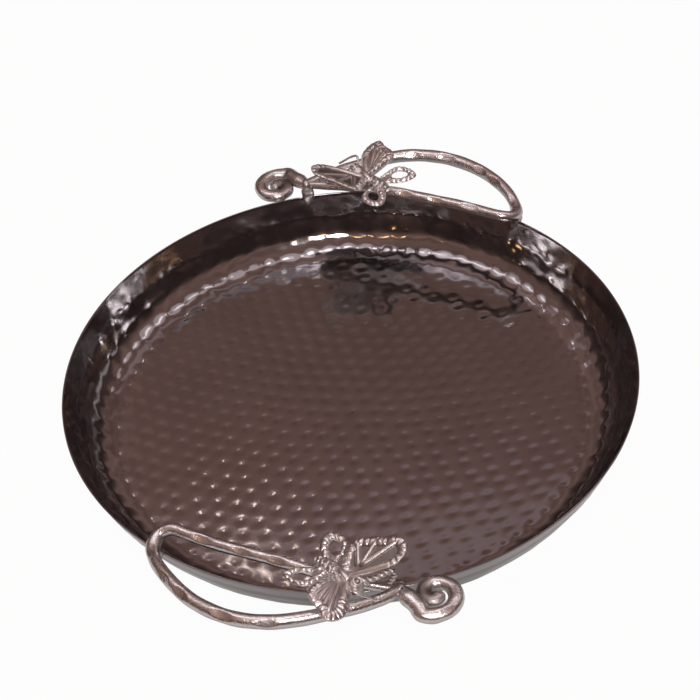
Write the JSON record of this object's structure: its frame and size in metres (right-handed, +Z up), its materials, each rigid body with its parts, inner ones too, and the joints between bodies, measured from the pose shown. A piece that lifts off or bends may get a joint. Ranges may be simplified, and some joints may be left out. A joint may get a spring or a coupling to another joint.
{
  "type": "round serving tray with handles",
  "caption": "Round hammered metal serving tray with a flared wall and two twig loop handles, each carrying a butterfly and ending in a tendril curl.",
  "frame": {"origin": "on the resting plane, under the middle of the dish's flat base", "axes": "+Z up out of the dish, -Y towards the front handle, +X to the right seen from the front"},
  "size_m": [0.36, 0.4316, 0.0665],
  "materials": {
    "dish_sheet": "polished hammered sheet",
    "cast_twig": "polished sand casting",
    "cast_butterfly": "cast relief with darkened recesses"
  },
  "bodies": {
    "root": {"tray_dish": "dish_sheet", "front_twig_loop": "cast_twig", "front_tendril_curl": "cast_twig", "front_junction_lug": "cast_twig", "front_bend_lug": "cast_twig", "front_butterfly_body": "cast_butterfly", "front_inner_forewing": "cast_butterfly", "front_inner_hindwing": "cast_butterfly", "front_outer_forewing": "cast_butterfly", "front_outer_hindwing": "cast_butterfly", "front_inner_antenna": "cast_butterfly", "front_outer_antenna": "cast_butterfly", "rear_twig_loop": "cast_twig", "rear_tendril_curl": "cast_twig", "rear_junction_lug": "cast_twig", "rear_bend_lug": "cast_twig", "rear_butterfly_body": "cast_butterfly", "rear_inner_forewing": "cast_butterfly", "rear_inner_hindwing": "cast_butterfly", "rear_outer_forewing": "cast_butterfly", "rear_outer_hindwing": "cast_butterfly", "rear_inner_antenna": "cast_butterfly", "rear_outer_antenna": "cast_butterfly"}
  },
  "joints": []
}
